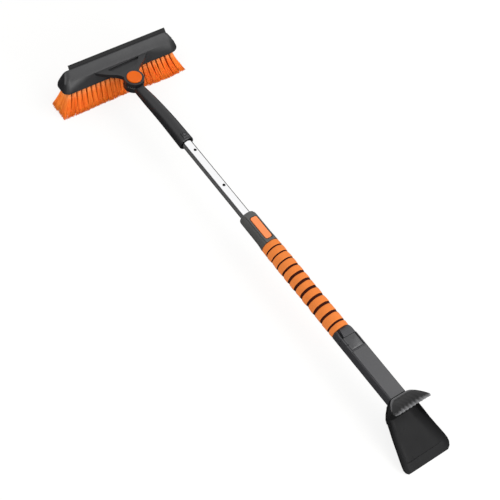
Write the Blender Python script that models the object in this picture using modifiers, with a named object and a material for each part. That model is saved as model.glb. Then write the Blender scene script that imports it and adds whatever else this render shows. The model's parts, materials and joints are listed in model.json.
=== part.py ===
"""Telescopic snow brush and ice scraper, as an assembly of separate solids.

The tool is laid out in its own straight frame, carried by the empty
"resting_pose": X runs along the handle from the brush head's pivot to the
scraper, Z is the pivot's axis with the push button on top, and Y is across.
The empty tips that frame by under a degree, so that the bristle tips and the
scraper's edge both touch the ground at z = 0. Lengths are in metres, and
outlines are written in millimetres and scaled by MM.
"""
import math

import bmesh
import bpy
from mathutils import Euler, Vector

MM = 0.001
GAP = 0.3 * MM

# Brush head
HEAD_SHIFT = Vector((-1.5 * MM, -5.8 * MM, 0.0))
HEAD_HALF_LENGTH = 131.4 * MM
HEAD_END_ROUNDING = 15.0 * MM
HEAD_END_STEPS = 6
RING_SIDES = 40
HEAD_END_SHARE = 0.5
HEAD_END_LEAN = 10.0 * MM
RIDGE_TOP = 26.3 * MM
HEAD_CORE = Vector((-56.0 * MM, 2.5 * MM))
PLATE_BOTTOM = 6.5 * MM
PLATE_TOP = 16.0 * MM
BOSS_RADIUS = 19.9 * MM
BOSS_FLOOR = 9.6 * MM
BUTTON_RADIUS = 14.8 * MM
BUTTON_TOP = 19.0 * MM
SQUEEGEE_HALF_LENGTH = 110.0 * MM
SQUEEGEE_SHIFT = 6.0 * MM
SQUEEGEE_ROOT = Vector((-63.5 * MM, 19.5 * MM))
SQUEEGEE_TILT = math.radians(138.0)
SQUEEGEE_HEIGHT = 14.8 * MM
SQUEEGEE_THICKNESS = 2.6 * MM
SLOT_DEPTH = 5.0 * MM
BASE_HALF_LENGTH = 120.5 * MM
BASE_SIDES = (-67.2 * MM, -41.8 * MM)
BRISTLE_TOP = -13.8 * MM
BRISTLE_TIP = -62.0 * MM
BRISTLE_FRONT_TIP = -28.5 * MM

# Neck and pivot
DISC_RADIUS = 20.3 * MM
DISC_BOTTOM = -8.6 * MM
DISC_TOP = 5.0 * MM
ARM_START = 6.0 * MM
HUB_RADIUS = 9.3 * MM
SOCKET_START = 118.0 * MM
SOCKET_RADIUS = 12.2 * MM
SNAP_X = 163.5 * MM
SNAP_RADIUS = 3.2 * MM

# Tubes and collar
TUBE_RADIUS = 10.2 * MM
TUBE_BORE = 9.0 * MM
TUBE_START = 172.3 * MM
TUBE_END = 455.0 * MM
LATCH_X = 390.7 * MM
HOLE_PITCH = 94.7 * MM
HOLE_RADIUS = 3.0 * MM
OUTER_TUBE_RADIUS = 12.6 * MM
OUTER_TUBE_BORE = 11.0 * MM
OUTER_TUBE_START = 376.0 * MM
OUTER_TUBE_END = 664.0 * MM
LEVER_PIVOT = Vector((412.0 * MM, 0.0, 15.0 * MM))
LEVER_ENDS = (386.0 * MM, 437.0 * MM)
LEVER_HALF_WIDTH = 6.8 * MM
LEVER_POCKET_HALF_WIDTH = 8.3 * MM
LEVER_PIN_HALF_LENGTH = 9.5 * MM
PAD_HALF_WIDTH = 10.8 * MM

# Foam grip
GRIP_RADIUS = 18.2 * MM
GRIP_START = 443.7 * MM
GRIP_END = 652.1 * MM
GROOVES = 11
FIRST_GROOVE = 14.0 * MM
FIRST_PITCH = 16.0 * MM
PITCH_GROWTH = 0.5 * MM
GROOVE_DEPTH = 1.6 * MM

# Scraper
RING_START = 652.4 * MM
SHAFT_START = 671.3 * MM
SHAFT_END = 806.0 * MM
SHAFT_HALF_WIDTH = 17.2 * MM
SHAFT_FRONT = 14.3 * MM
SHAFT_BACK = -15.2 * MM
SHAFT_BORE = 10.5 * MM
STUB_FLAT = 9.0 * MM
RELEASE_PIVOT = Vector((686.0 * MM, 0.0, 12.9 * MM))
RELEASE_ENDS = (671.9 * MM, 698.4 * MM)
RELEASE_HALF_WIDTH = 13.8 * MM
PANEL_ENDS = (701.0 * MM, 805.7 * MM)
PANEL_HALF_WIDTH = 15.0 * MM
PANEL_SEAT = 12.6 * MM
VISOR_HALF_WIDTH = 41.0 * MM
VISOR_ROOT_X = 808.0 * MM
VISOR_EDGE_X = 840.0 * MM
VISOR_EDGE_Z = 31.0 * MM
VISOR_THICKNESS = 2.6 * MM
VISOR_SWEEP = 28.0 * MM
VISOR_STEPS = 6
VISOR_TEETH = 10
TOOTH_REACH = 1.2 * MM
RIDGE_HEIGHT = 2.0 * MM
RIDGED_HALF_WIDTH = 31.0 * MM
VISOR_BULGE = 4.0 * MM
VISOR_CURL = 9.0 * MM
PAN_STEPS = 12
PAN_CURL = 7.0
BLADE_TIP = Vector((914.2 * MM, 0.0, -48.9 * MM))
BLADE_THICKNESS = 2.4 * MM
LIP_THICKNESS = 1.0 * MM

REST_TILT = math.atan2(BLADE_TIP.z - LIP_THICKNESS - BRISTLE_TIP, BLADE_TIP.x - BRISTLE_FRONT_TIP)

for existing in list(bpy.data.objects):
    bpy.data.objects.remove(existing)

PARTS = bpy.data.collections.new("snow_brush_scraper")
CUTTERS = bpy.data.collections.new("cutters")
bpy.context.scene.collection.children.link(PARTS)
bpy.context.scene.collection.children.link(CUTTERS)

# Turns that lay a shape's own XY drawing plane, or a turned shape's own Z axis, along the tool.
PLANES = {
    "XY": Euler((0.0, 0.0, 0.0)),
    "XZ": Euler((math.radians(90.0), 0.0, 0.0)),
    "YZ": Euler((math.radians(90.0), 0.0, math.radians(90.0))),
}
AXES = {
    "X": Euler((0.0, math.radians(90.0), 0.0)),
    "Y": Euler((math.radians(-90.0), 0.0, 0.0)),
    "Z": Euler((0.0, 0.0, 0.0)),
}


def make_material(name, colour, roughness, metallic=0.0):
    """One Principled BSDF material with a plain colour."""
    material = bpy.data.materials.new(name)
    material.use_nodes = True
    shader = material.node_tree.nodes["Principled BSDF"]
    shader.inputs["Base Color"].default_value = (*colour, 1.0)
    shader.inputs["Roughness"].default_value = roughness
    shader.inputs["Metallic"].default_value = metallic
    material.diffuse_color = (*colour, 1.0)
    return material


def empty(name, location, parent=None):
    """A frame for the pieces that move together, at a place in the handle's frame."""
    frame = bpy.data.objects.new(name, None)
    PARTS.objects.link(frame)
    frame["place"] = location
    frame.parent = parent
    frame.location = Vector(location) - (Vector(parent["place"]) if parent else Vector())
    return frame


def add(name, data, parent, material, location=(0.0, 0.0, 0.0), turn=PLANES["XY"]):
    """An object at a place in the handle's frame, hung on its body's empty."""
    piece = bpy.data.objects.new(name, data)
    collection = CUTTERS if material is None else PARTS
    collection.objects.link(piece)
    piece.parent = parent
    piece.location = Vector(location) - Vector(parent["place"])
    piece.rotation_euler = turn
    if material is None:
        piece.hide_render = True
        piece.display_type = "WIRE"
    else:
        data.materials.append(material)
    return piece


def slab(name, outline, plane, low, high, parent, material=None):
    """A flat outline in one of the tool's planes, extruded across it from low to high."""
    curve = bpy.data.curves.new(name, "CURVE")
    curve.dimensions = "2D"
    curve.fill_mode = "BOTH"
    curve.extrude = (high - low) / 2.0
    spline = curve.splines.new("POLY")
    spline.points.add(len(outline) - 1)
    for point, (u, v) in zip(spline.points, outline):
        point.co = (u, v, 0.0, 1.0)
    spline.use_cyclic_u = True
    middle = (high + low) / 2.0
    location = {"XY": (0.0, 0.0, middle), "XZ": (0.0, middle, 0.0), "YZ": (middle, 0.0, 0.0)}[plane]
    drawn = add(name, curve, parent, None, location, PLANES[plane])
    bpy.context.view_layer.update()
    mesh = bpy.data.meshes.new_from_object(drawn.evaluated_get(bpy.context.evaluated_depsgraph_get()))
    bpy.data.objects.remove(drawn)
    shape = bmesh.new()
    shape.from_mesh(mesh)
    bmesh.ops.remove_doubles(shape, verts=shape.verts, dist=0.001 * MM)
    bmesh.ops.recalc_face_normals(shape, faces=shape.faces)
    shape.to_mesh(mesh)
    shape.free()
    return add(name, mesh, parent, material, location, PLANES[plane])


def turned(name, profile, axis, parent, material=None, steps=40, ring=False, centre=(0.0, 0.0, 0.0)):
    """A (radius, height) profile, top to bottom down its outer side, turned about an axis."""
    edges = [(i, i + 1) for i in range(len(profile) - 1)]
    if ring:
        edges.append((len(profile) - 1, 0))
    mesh = bpy.data.meshes.new(name)
    mesh.from_pydata([(radius, 0.0, height) for radius, height in profile], edges, [])
    piece = add(name, mesh, parent, material, centre, AXES[axis])
    screw = piece.modifiers.new("Turn", "SCREW")
    screw.steps = steps
    screw.render_steps = steps
    screw.use_merge_vertices = True
    screw.merge_threshold = 0.01 * MM
    screw.use_smooth_shade = True
    return piece


def rod(name, radius, low, high, axis, parent, material=None, centre=(0.0, 0.0, 0.0), steps=24):
    """A plain round bar along an axis, from low to high past its centre."""
    shape = bmesh.new()
    bmesh.ops.create_cone(shape, cap_ends=True, segments=steps, radius1=radius, radius2=radius,
                          depth=high - low)
    bmesh.ops.translate(shape, vec=(0.0, 0.0, (high + low) / 2.0), verts=shape.verts)
    mesh = bpy.data.meshes.new(name)
    shape.to_mesh(mesh)
    shape.free()
    return add(name, mesh, parent, material, centre, AXES[axis])


def box(name, low, high, parent, material=None):
    """A box between two opposite corners."""
    shape = bmesh.new()
    bmesh.ops.create_cube(shape, size=1.0)
    size = [b - a for a, b in zip(low, high)]
    bmesh.ops.scale(shape, vec=size, verts=shape.verts)
    mesh = bpy.data.meshes.new(name)
    shape.to_mesh(mesh)
    shape.free()
    return add(name, mesh, parent, material, [(a + b) / 2.0 for a, b in zip(low, high)])


def loft(name, sections, parent, material=None):
    """A closed skin through sections that all have the same number of points."""
    shape = bmesh.new()
    rows = [[shape.verts.new(point) for point in section] for section in sections]
    for near, far in zip(rows, rows[1:]):
        for i in range(len(near)):
            j = (i + 1) % len(near)
            shape.faces.new((near[i], near[j], far[j], far[i]))
    shape.faces.new(rows[0])
    shape.faces.new(rows[-1])
    bmesh.ops.triangulate(shape, faces=[f for f in shape.faces if len(f.verts) > 4])
    bmesh.ops.recalc_face_normals(shape, faces=shape.faces)
    mesh = bpy.data.meshes.new(name)
    shape.to_mesh(mesh)
    shape.free()
    return add(name, mesh, parent, material)


def ring_stack(name, profile, parent, material):
    """A solid of (radius, height) rings along the handle, closed at both ends, as plain faces."""
    sections = []
    for radius, height in profile:
        turns = [math.tau * i / RING_SIDES for i in range(RING_SIDES)]
        sections.append([(-radius * math.cos(turn), radius * math.sin(turn), height) for turn in turns])
    piece = loft(name, sections, parent, material)
    piece.rotation_euler = AXES["X"]
    return piece


def coil(name, radius, wire, low, high, turns, parent, material, centre):
    """A compression spring along Z, of round wire."""
    steps = int(turns * 12)
    curve = bpy.data.curves.new(name, "CURVE")
    curve.dimensions = "3D"
    curve.bevel_depth = wire / 2.0
    curve.bevel_resolution = 2
    curve.use_fill_caps = True
    spline = curve.splines.new("POLY")
    spline.points.add(steps)
    for i, point in enumerate(spline.points):
        angle = math.tau * turns * i / steps
        height = low + wire / 2.0 + (high - low - wire) * i / steps
        point.co = (radius * math.cos(angle), radius * math.sin(angle), height, 1.0)
    return add(name, curve, parent, material, centre)


def combine(piece, other, operation):
    """A Boolean with another object, which is then kept out of the model."""
    boolean = piece.modifiers.new(operation.title(), "BOOLEAN")
    boolean.operation = operation
    boolean.object = other
    return piece


def soften(piece, width, segments=2, angle=40.0):
    """Round the edges that are sharper than an angle."""
    bevel = piece.modifiers.new("Soften", "BEVEL")
    bevel.width = width
    bevel.segments = segments
    bevel.limit_method = "ANGLE"
    bevel.angle_limit = math.radians(angle)
    return piece


def arc(centre, radius, start, end, steps):
    """Points on a round stretch of an outline, angles in degrees."""
    points = []
    for i in range(steps + 1):
        angle = math.radians(start + (end - start) * i / steps)
        points.append((centre[0] + radius * math.cos(angle), centre[1] + radius * math.sin(angle)))
    return points


def rounded(low, high, radius, steps=4):
    """A rectangle with round corners, as an outline."""
    corners = [(high[0], high[1], 0.0), (low[0], high[1], 90.0), (low[0], low[1], 180.0),
               (high[0], low[1], 270.0)]
    outline = []
    for u, v, start in corners:
        centre = (u - math.copysign(radius, u - low[0] - 1e-9), v - math.copysign(radius, v - low[1] - 1e-9))
        outline += arc(centre, radius, start, start + 90.0, steps)
    return outline


def scaled(points):
    """An outline written in millimetres, in metres."""
    return [(u * MM, v * MM) for u, v in points]


def mirrored(half):
    """A closed outline from the half of it at positive v, listed along u."""
    return half + [(u, -v) for u, v in reversed(half) if abs(v) > 0.001 * MM]


# ---------------------------------------------------------------- brush head


def make_housing(parent, material):
    """The head's moulded shell: squeegee holder, band, front face, pivot plate and its boss."""
    outline = scaled([(-38.2, -8.5), (-47.6, 13.4), (-56.5, 20.8), (-65.0, 26.3), (-66.6, 26.3),
                      (-70.8, 21.0), (-72.3, 12.0), (-72.5, 4.0), (-72.0, -6.0), (-69.0, -11.0),
                      (-41.0, -11.0)])
    sections = []
    for i in range(-HEAD_END_STEPS, HEAD_END_STEPS + 1):
        if i == 0:
            continue
        turn = math.radians(90.0) * (abs(i) - 1) / (HEAD_END_STEPS - 1)
        y = HEAD_HALF_LENGTH - HEAD_END_ROUNDING * (1.0 - math.sin(turn))
        share = HEAD_END_SHARE + (1.0 - HEAD_END_SHARE) * math.cos(turn)
        section = []
        for u, v in outline:
            lean = HEAD_END_LEAN * max(0.0, v - HEAD_CORE.y) / (RIDGE_TOP - HEAD_CORE.y)
            section.append((HEAD_CORE.x + (u - HEAD_CORE.x) * share, math.copysign(y - lean, i),
                            HEAD_CORE.y + (v - HEAD_CORE.y) * share))
        sections.append(section)
    shell = loft("head_housing", sections, parent, material)
    soften(shell, 1.2 * MM, 2, 30.0)
    combine(shell, make_pivot_plate(parent), "UNION")
    middle = SQUEEGEE_ROOT
    along = Vector((math.cos(SQUEEGEE_TILT), math.sin(SQUEEGEE_TILT)))
    across = Vector((along.y, -along.x)) * (SQUEEGEE_THICKNESS / 2.0 + GAP)
    foot = middle - along * SLOT_DEPTH
    mouth = middle + along * SQUEEGEE_HEIGHT
    slot = [foot + across, mouth + across, mouth - across, foot - across]
    length = SQUEEGEE_HALF_LENGTH + GAP
    slot = slab("squeegee_slot", slot, "XZ", SQUEEGEE_SHIFT - length, SQUEEGEE_SHIFT + length, parent)
    combine(shell, slot, "DIFFERENCE")
    reach = BASE_HALF_LENGTH + GAP
    pocket = box("base_pocket", (BASE_SIDES[0] - GAP, -reach, -20.0 * MM),
                 (BASE_SIDES[1] + GAP, reach, -5.0 * MM), parent)
    combine(shell, pocket, "DIFFERENCE")
    for side in (-1.0, 1.0):
        hole = rod("base_screw_hole", 1.6 * MM, -6.0 * MM, 2.5 * MM, "Z", parent,
                   centre=(-54.5 * MM, side * 62.0 * MM, 0.0), steps=16)
        combine(shell, hole, "DIFFERENCE")
    return shell


def make_pivot_plate(parent):
    """The flared plate and round boss that the shell carries over the neck's disc."""
    flare = scaled([(-13.2, 19.4), (-17.5, 22.4), (-21.5, 27.0), (-25.0, 33.0), (-29.5, 40.0),
                    (-35.5, 47.0), (-40.8, 53.0), (-46.1, 59.3), (-50.1, 59.3)])
    nose = arc((0.0, 0.0), BOSS_RADIUS, 0.0, 118.0, 14)
    plate = slab("pivot_plate", mirrored(nose + flare), "XY", PLATE_BOTTOM, PLATE_TOP, parent)
    slope = scaled([(-17.0, 16.0), (-52.0, 12.4), (-52.0, 30.0), (-17.0, 30.0)])
    combine(plate, slab("plate_slope", slope, "XZ", -60.0 * MM, 60.0 * MM, parent), "DIFFERENCE")
    soften(plate, 0.9 * MM, 2, 35.0)
    recess = scaled([(-45.5, 39.0), (-28.0, 23.0), (-21.5, -20.5), (-42.5, -34.0)])
    cut = slab("plate_recess", recess, "XY", -1.7 * MM, 4.0 * MM, parent)
    cut.rotation_euler = Euler((0.0, -math.atan2(3.6, 35.0), 0.0))
    cut.location = Vector((0.0, 0.0, 17.1 * MM))
    combine(plate, cut, "DIFFERENCE")
    bore = BUTTON_RADIUS + GAP
    combine(plate, rod("button_bore", bore, BOSS_FLOOR, 30.0 * MM, "Z", parent, steps=40), "DIFFERENCE")
    combine(plate, rod("hub_bore", HUB_RADIUS + GAP, 0.0, 30.0 * MM, "Z", parent, steps=32), "DIFFERENCE")
    return plate


def make_bristle_base(parent, material):
    """The block that holds the tufts, let into the underside of the shell."""
    outline = rounded((BASE_SIDES[0], -BASE_HALF_LENGTH), (BASE_SIDES[1], BASE_HALF_LENGTH), 3.0 * MM)
    base = slab("bristle_base", outline, "XY", BRISTLE_TOP + GAP, -5.0 * MM - GAP, parent, material)
    for side in (-1.0, 1.0):
        hole = turned("screw_seat", scaled([(0.0, 0.0), (1.7, 0.0), (1.7, -10.4), (3.6, -10.4),
                                            (3.6, -20.0), (0.0, -20.0)]), "Z", parent, steps=16,
                      centre=(-54.5 * MM, side * 62.0 * MM, 0.0))
        combine(base, hole, "DIFFERENCE")
    return base


def make_base_screw(name, side, parent, material):
    """A pan-head screw through the bristle base into the shell."""
    profile = scaled([(0.0, 2.0), (1.3, 1.6), (1.3, -10.7), (3.2, -10.7), (3.2, -12.6), (2.6, -13.3),
                      (0.0, -13.3)])
    return turned(name, profile, "Z", parent, material, 16, centre=(-54.5 * MM, side * 62.0 * MM, 0.0))


def make_bristles(parent, material):
    """The outer shape of the tufts: a block that flares to its trimmed face."""
    sections = []
    shapes = ((0.0, (-66.5, 120.0), (-42.5, 4.0)), (0.3, (-70.0, 128.5), (-37.0, 6.0)),
              (1.0, (-75.0, 139.0), (-28.5, 9.0)))
    for depth, (back, half), (front, corner) in shapes:
        side = -HEAD_SHIFT.y * depth
        outline = rounded((back * MM, side - half * MM), (front * MM, side + half * MM), corner * MM, 3)
        height = BRISTLE_TOP + (BRISTLE_TIP - BRISTLE_TOP) * depth
        sections.append([(x, y, height) for x, y in outline])
    return loft("bristle_field", sections, parent, material)


def make_squeegee(parent, material):
    """The rubber blade, thinner at its wiping edge."""
    along = Vector((math.cos(SQUEEGEE_TILT), math.sin(SQUEEGEE_TILT)))
    across = Vector((along.y, -along.x)) * SQUEEGEE_THICKNESS / 2.0
    foot = SQUEEGEE_ROOT - along * (SLOT_DEPTH - GAP)
    shoulder = SQUEEGEE_ROOT + along * (SQUEEGEE_HEIGHT - 4.0 * MM)
    tip = SQUEEGEE_ROOT + along * SQUEEGEE_HEIGHT
    section = [foot + across, shoulder + across, tip + across * 0.5, tip - across * 0.5,
               shoulder - across, foot - across]
    ends = (SQUEEGEE_SHIFT - SQUEEGEE_HALF_LENGTH, SQUEEGEE_SHIFT + SQUEEGEE_HALF_LENGTH)
    return slab("squeegee_blade", section, "XZ", *ends, parent, material)


def make_pivot_button(parent, material):
    """The round push button, slightly dished, with a skirt that guides it in the boss."""
    top = BUTTON_TOP / MM
    radius = BUTTON_RADIUS / MM
    profile = scaled([(0.0, top - 0.9), (6.0, top - 0.8), (10.5, top - 0.45), (12.6, top), (13.8, top - 0.2),
                      (14.6, top - 0.8), (radius, top - 1.6), (radius, 12.6), (13.3, 12.6), (13.3, 15.4),
                      (0.0, 15.4)])
    return turned("pivot_button", profile, "Z", parent, material, 48)


def make_pivot_retainer(parent, material):
    """The washer that holds the boss down on the neck's hub."""
    profile = scaled([(2.4, 11.0), (12.6, 11.0), (13.0, 10.7), (13.0, 9.9), (2.4, 9.9)])
    return turned("pivot_retainer", profile, "Z", parent, material, 40, ring=True)


def make_pivot_screw(parent, material):
    """The screw down the middle of the pivot, into the hub."""
    profile = scaled([(0.0, 12.5), (3.0, 12.5), (3.6, 12.1), (3.6, 11.3), (2.0, 11.3), (2.0, -1.6),
                      (1.6, -2.0), (0.0, -2.0)])
    return turned("pivot_screw", profile, "Z", parent, material, 20)


def make_friction_washer(parent, material):
    """The nylon ring between the neck's disc and the boss."""
    profile = scaled([(19.0, 6.2), (19.0, 5.3), (9.7, 5.3), (9.7, 6.2)])
    return turned("friction_washer", profile, "Z", parent, material, 40, ring=True)


# ---------------------------------------------------------------- neck and telescopic tube


def lean_arm(neck):
    """Lead the arm's thin end sideways, from the socket's middle to the pivot's."""
    for vertex in neck.data.vertices:
        part = max(0.0, min(1.0, (SOCKET_START - vertex.co.z) / (SOCKET_START - ARM_START)))
        vertex.co.y += HEAD_SHIFT.y * part ** 1.5


def make_neck(parent, seat, material):
    """The neck: a disc and hub under the boss, and a tapered arm that ends in a socket."""
    arm = [(0.0, 174.5), (14.3, 174.5), (15.0, 173.9), (15.3, 172.5), (15.1, 162.0), (14.4, 118.0),
           (14.0, 100.0), (13.6, 82.0), (13.2, 66.0), (12.8, 50.0), (11.9, 36.0), (11.2, 24.0),
           (10.4, 14.0), (9.0, 6.0), (0.0, 6.0)]
    neck = ring_stack("neck_shell", scaled(arm[1:-1]), parent, material)
    lean_arm(neck)
    clear = rod("boss_clearance", BOSS_RADIUS + 1.5 * MM, DISC_TOP - MM, 30.0 * MM, "Z", seat, steps=48)
    combine(neck, clear, "DIFFERENCE")
    hole = 2.3 * MM
    disc = [(0.0, -hole), (hole, -hole), (hole, BOSS_FLOOR), (HUB_RADIUS, BOSS_FLOOR),
            (HUB_RADIUS, DISC_TOP)]
    disc += [(DISC_RADIUS - 0.5 * MM, DISC_TOP), (DISC_RADIUS, DISC_TOP - 0.5 * MM)]
    disc += [(DISC_RADIUS, DISC_BOTTOM + 1.6 * MM), (DISC_RADIUS - 1.6 * MM, DISC_BOTTOM),
             (0.0, DISC_BOTTOM)]
    combine(neck, turned("neck_disc", disc, "Z", seat, steps=48), "UNION")
    ramp = scaled([(156.4, 12.5), (160.2, 16.7), (168.6, 16.5), (171.2, 14.9), (171.2, 12.5)])
    combine(neck, slab("snap_ramp", ramp, "XZ", -5.7 * MM, 5.7 * MM, parent), "UNION")
    socket = rod("neck_socket", SOCKET_RADIUS, SOCKET_START, 180.0 * MM, "X", parent, steps=40)
    combine(neck, socket, "DIFFERENCE")
    window = rod("snap_window", SNAP_RADIUS + 0.4 * MM, 5.0 * MM, 20.0 * MM, "Z", parent,
                 centre=(SNAP_X, 0.0, 0.0), steps=22)
    combine(neck, window, "DIFFERENCE")
    return neck


def make_tube_plug(parent, material):
    """The stepped plug on the inner tube's end, which fits the neck's socket."""
    profile = scaled([(0.0, 196.0), (8.3, 196.0), (8.7, 195.5), (8.7, 172.0), (11.9, 172.0), (11.9, 150.5),
                      (11.2, 149.5), (11.2, 127.0), (10.2, 121.0), (0.0, 121.0)])
    plug = turned("tube_plug", profile, "X", parent, material, 40)
    well = rod("snap_well", SNAP_RADIUS + GAP, 3.5 * MM, 20.0 * MM, "Z", parent,
               centre=(SNAP_X, 0.0, 0.0), steps=20)
    return combine(plug, well, "DIFFERENCE")


def make_snap_button(parent, material):
    """The small button in the neck's window, which frees the plug."""
    profile = scaled([(0.0, 17.4), (1.6, 17.2), (2.7, 16.7), (3.2, 15.9), (3.2, 12.4), (0.0, 12.4)])
    return turned("snap_button", profile, "Z", parent, material, 20, centre=(SNAP_X, 0.0, 0.0))


def make_inner_tube(parent, material):
    """The polished tube with its row of index holes."""
    profile = [(TUBE_RADIUS, TUBE_END), (TUBE_RADIUS, TUBE_START), (TUBE_BORE, TUBE_START),
               (TUBE_BORE, TUBE_END)]
    tube = turned("inner_tube", profile, "X", parent, material, 48, ring=True)
    for i in range(3):
        hole = rod("index_hole", HOLE_RADIUS, 4.0 * MM, 14.0 * MM, "Z", parent,
                   centre=(LATCH_X - i * HOLE_PITCH, 0.0, 0.0), steps=20)
        combine(tube, hole, "DIFFERENCE")
    return tube


def make_tail_guide(parent, material):
    """The plug on the inner tube's far end, which slides in the outer tube."""
    profile = scaled([(0.0, 459.3), (10.3, 459.3), (10.7, 458.9), (10.7, 455.3), (8.7, 455.3), (8.7, 446.4),
                      (8.3, 446.0), (0.0, 446.0)])
    return turned("tail_guide", profile, "X", parent, material, 40)


def make_outer_tube(parent, material):
    """The fixed tube through the collar and the grip."""
    profile = [(OUTER_TUBE_RADIUS, OUTER_TUBE_END), (OUTER_TUBE_RADIUS, OUTER_TUBE_START),
               (OUTER_TUBE_BORE, OUTER_TUBE_START), (OUTER_TUBE_BORE, OUTER_TUBE_END)]
    tube = turned("outer_tube", profile, "X", parent, material, 40, ring=True)
    slot = box("latch_slot", (LATCH_X - 3.3 * MM, -2.4 * MM, 6.0 * MM),
               (LATCH_X + 3.3 * MM, 2.4 * MM, 14.0 * MM), parent)
    return combine(tube, slot, "DIFFERENCE")


def make_guide_bush(parent, material):
    """The nylon bush that the inner tube slides through at the collar's mouth."""
    profile = scaled([(12.6, 375.7), (12.6, 372.9), (10.5, 372.9), (10.5, 375.7)])
    return turned("guide_bush", profile, "X", parent, material, 40, ring=True)


def make_collar(parent, material):
    """The collar on the outer tube, with a raised pad that frames the lock lever."""
    profile = scaled([(0.0, 443.4), (17.8, 443.4), (17.7, 440.0), (16.9, 433.0), (16.4, 426.0),
                      (16.2, 378.0), (16.0, 373.5), (15.2, 371.3), (13.6, 370.5), (0.0, 370.5)])
    collar = turned("collar", profile, "X", parent, material, 40)
    pad = scaled([(373.6, 4.0), (374.6, 13.2), (377.5, 15.6), (383.0, 16.6), (427.0, 16.6), (436.5, 17.4),
                  (443.4, 17.6), (443.4, 4.0)])
    frame = slab("lever_frame", pad, "XZ", -PAD_HALF_WIDTH, PAD_HALF_WIDTH, parent)
    soften(frame, 2.0 * MM, 2, 50.0)
    combine(collar, frame, "UNION")
    bore = scaled([(0.0, 450.0), (12.9, 450.0), (12.9, 372.6), (10.9, 372.6), (10.9, 360.0), (0.0, 360.0)])
    combine(collar, turned("collar_bore", bore, "X", parent, steps=44), "DIFFERENCE")
    pocket = rounded((LEVER_ENDS[0] - 1.6 * MM, -LEVER_POCKET_HALF_WIDTH),
                     (LEVER_ENDS[1] + 1.6 * MM, LEVER_POCKET_HALF_WIDTH), 4.5 * MM)
    combine(collar, slab("lever_pocket", pocket, "XY", 9.3 * MM, 30.0 * MM, parent), "DIFFERENCE")
    reach = LEVER_PIN_HALF_LENGTH + GAP
    hole = rod("lever_pin_hole", 1.5 * MM, -reach, reach, "Y", parent, centre=LEVER_PIVOT, steps=16)
    combine(collar, hole, "DIFFERENCE")
    return collar


def make_lock_lever(parent, material):
    """The long orange rocker: its grip end is pressed to lift the latch pin."""
    outline = rounded((LEVER_ENDS[0], -LEVER_HALF_WIDTH), (LEVER_ENDS[1], LEVER_HALF_WIDTH), 3.4 * MM)
    lever = slab("lock_lever", outline, "XY", 13.9 * MM, 17.5 * MM, parent, material)
    soften(lever, 0.7 * MM, 2, 50.0)
    lug = box("lever_lug", (408.6 * MM, -6.6 * MM, 12.9 * MM), (415.4 * MM, 6.6 * MM, 15.5 * MM), parent)
    combine(lever, lug, "UNION")
    hole = rod("lever_bore", 1.5 * MM, -12.0 * MM, 12.0 * MM, "Y", parent, centre=LEVER_PIVOT, steps=16)
    return combine(lever, hole, "DIFFERENCE")


def make_lever_spring(parent, material):
    """The bowed leaf spring under the lever's grip end."""
    steps = 10
    upper = []
    for i in range(steps + 1):
        x = 418.0 + 15.0 * i / steps
        upper.append((x, 13.2 + 0.45 * math.sin(math.pi * i / steps)))
    lower = [(x, z - 0.3) for x, z in reversed(upper)]
    return slab("lever_spring", scaled(upper + lower), "XZ", -2.5 * MM, 2.5 * MM, parent, material)


# ---------------------------------------------------------------- grip and scraper


def groove_places():
    """Middle and half width of each groove in the foam, from the collar's end on."""
    place = GRIP_START + FIRST_GROOVE
    places = []
    for i in range(GROOVES):
        wide = max(0.0, min(1.0, (i - 2.0) / 2.5)) * (1.0 - 0.6 * max(0.0, i - (GROOVES - 2)))
        places.append((place, (1.1 + 0.9 * wide) * MM))
        place += FIRST_PITCH + PITCH_GROWTH * i
    return places


def make_foam_grip(parent, material):
    """The foam sleeve: soft bands between the grooves."""
    edge = 0.5 * MM
    profile = [(OUTER_TUBE_RADIUS + GAP, GRIP_END), (GRIP_RADIUS - edge, GRIP_END),
               (GRIP_RADIUS, GRIP_END - edge)]
    for middle, half in reversed(groove_places()):
        profile += [(GRIP_RADIUS, middle + half + edge), (GRIP_RADIUS - GROOVE_DEPTH, middle),
                    (GRIP_RADIUS, middle - half - edge)]
    profile += [(GRIP_RADIUS, GRIP_START + 3.0 * MM), (GRIP_RADIUS - 1.0 * MM, GRIP_START),
                (OUTER_TUBE_RADIUS + GAP, GRIP_START)]
    return turned("foam_grip", profile, "X", parent, material, 30, ring=True)


def shaft_section(inset=0.0):
    """The scraper shaft's outline across the handle: a flat front and a round back."""
    half = SHAFT_HALF_WIDTH - inset
    front = SHAFT_FRONT
    back = SHAFT_BACK + inset
    small = 3.0 * MM
    large = 12.0 * MM
    return (arc((half - small, front - small), small, 0.0, 90.0, 4)
            + arc((-half + small, front - small), small, 90.0, 180.0, 4)
            + arc((-half + large, back + large), large, 180.0, 270.0, 7)
            + arc((half - large, back + large), large, 270.0, 360.0, 7))


def make_end_ring(parent, material):
    """The ring that closes the grip: round at the foam, shaped like the shaft at its end, with two slots."""
    sections = []
    for x, reach in ((RING_START, 17.8 * MM), (654.5 * MM, 18.7 * MM), (658.0 * MM, 20.0 * MM),
                     (664.0 * MM, 21.2 * MM), (SHAFT_START - GAP, 30.0 * MM)):
        shares = [min(1.0, reach / math.hypot(y, z)) for y, z in shaft_section()]
        sections.append([(x, y * share, z * share) for (y, z), share in zip(shaft_section(), shares)])
    ring = loft("end_ring", sections, parent, material)
    bore = rod("ring_bore", OUTER_TUBE_RADIUS + GAP, 640.0 * MM, 680.0 * MM, "X", parent, steps=40)
    combine(ring, bore, "DIFFERENCE")
    for inner, outer, tail, floor in ((-6.4, -14.8, -10.6, 8.6), (12.2, 20.0, 13.4, 10.4)):
        slot = scaled([(652.0, inner), (652.0, outer), (672.0, outer), (672.0, tail)])
        combine(ring, slab("ring_slot", slot, "XY", floor * MM, 20.0 * MM, parent), "DIFFERENCE")
    return ring


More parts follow.
